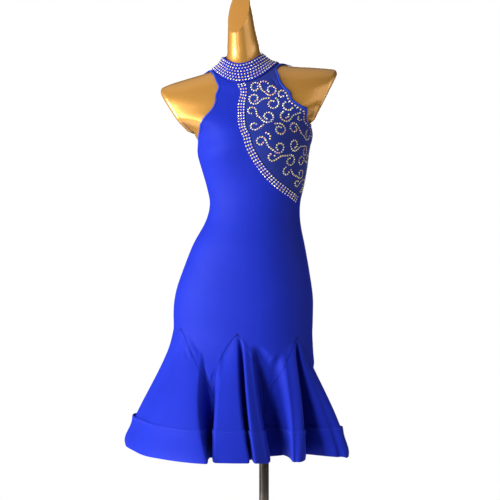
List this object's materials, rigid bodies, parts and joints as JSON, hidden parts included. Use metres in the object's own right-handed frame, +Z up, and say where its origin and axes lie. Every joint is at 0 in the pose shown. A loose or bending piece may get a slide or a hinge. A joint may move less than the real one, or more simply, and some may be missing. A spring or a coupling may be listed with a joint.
{
  "type": "salsa dance dress on a dress form",
  "caption": "Sleeveless fitted salsa dance dress with a stand collar, inset panel and flared godet hem, on a limbless dress form with a pole and round base.",
  "frame": {"origin": "centre of the base plate's underside, on the pole's axis", "axes": "+Z up along the pole; -Y out of the front of the dress; +X towards the wearer's left"},
  "size_m": [0.5581, 0.5932, 1.6067],
  "materials": {
    "dress_blue": "smooth royal blue stretch cloth with a slight sheen",
    "inset_navy": "dark blue mesh over lining, matte",
    "binding_blue": "lighter blue folded edge",
    "form_gold": "glossy gold lacquer",
    "stand_steel": "bright steel"
  },
  "bodies": {
    "root": {"front_main": "dress_blue", "front_inset": "inset_navy", "back_left": "dress_blue", "back_right": "dress_blue", "collar": "dress_blue", "armhole_binding_left": "binding_blue", "armhole_binding_right": "binding_blue", "godet_1": "dress_blue", "godet_2": "dress_blue", "godet_3": "dress_blue", "godet_4": "dress_blue", "godet_5": "dress_blue", "godet_6": "dress_blue", "hem_band": "dress_blue", "dress_form": "form_gold", "form_flange": "stand_steel", "pole": "stand_steel", "base_plate": "stand_steel"}
  },
  "joints": []
}
